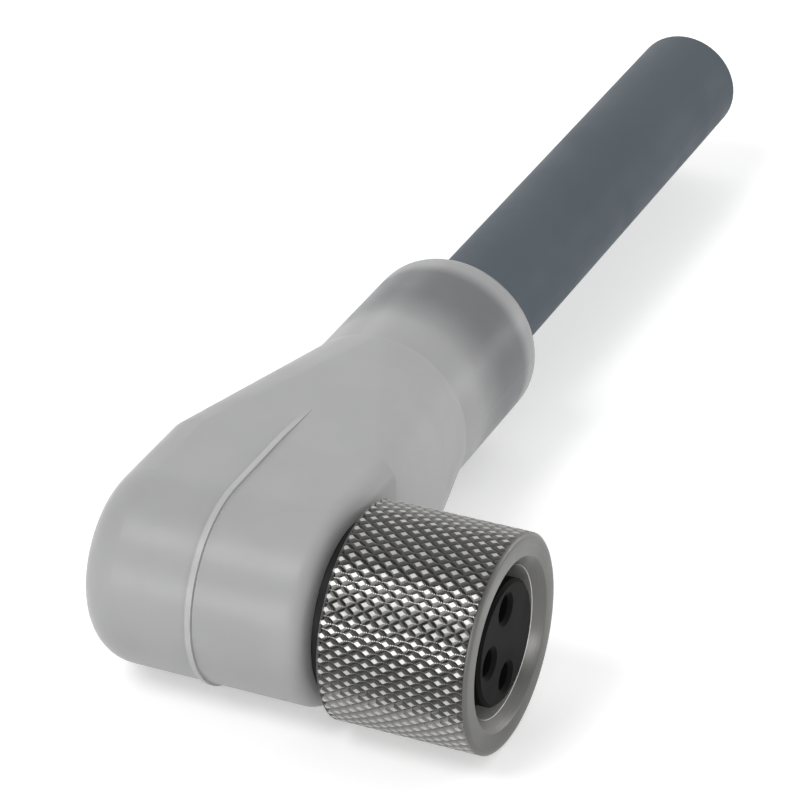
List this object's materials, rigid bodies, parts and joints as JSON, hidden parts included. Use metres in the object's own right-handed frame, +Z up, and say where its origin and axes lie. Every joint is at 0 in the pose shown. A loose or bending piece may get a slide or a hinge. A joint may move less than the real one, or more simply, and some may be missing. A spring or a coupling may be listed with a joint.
{
  "type": "sensor cable",
  "caption": "Right-angle sensor cable end: a round contact insert in a diamond-knurled screw nut, a tapered moulded grip and a short straight length of cut cable.",
  "frame": {"origin": "centre of the contact insert's mating face", "axes": "+X out of the socket, the way a mating plug leaves; +Y along the cable, away from the grip; +Z up"},
  "size_m": [0.0193, 0.0607, 0.01],
  "materials": {
    "grip": "translucent light grey, fine matt",
    "inner": "plain moulded",
    "carrier": "satin",
    "black_ring": "matt",
    "nut": "turned and knurled stainless steel",
    "contact": "gold plated",
    "sheath": "smooth dark blue-grey",
    "core_brown": "smooth",
    "core_blue": "smooth",
    "core_black": "smooth",
    "copper": "bare copper"
  },
  "bodies": {
    "connector": {"grip_body": "grip", "inner_moulding": "inner", "contact_carrier": "carrier", "sealing_ring": "black_ring", "stop_ring": "black_ring", "cable_sheath": "sheath", "contact_1": "contact", "contact_3": "contact", "contact_4": "contact", "core_brown": "core_brown", "core_blue": "core_blue", "core_black": "core_black", "conductor_brown": "copper", "conductor_blue": "copper", "conductor_black": "copper"},
    "nut": {"coupling_nut": "nut"}
  },
  "joints": [
    {"name": "nut_spin", "type": "hinge", "parent": "connector", "child": "nut", "pos_m": [0, 0, 0], "axis": [1, 0, 0], "continuous": true}
  ]
}
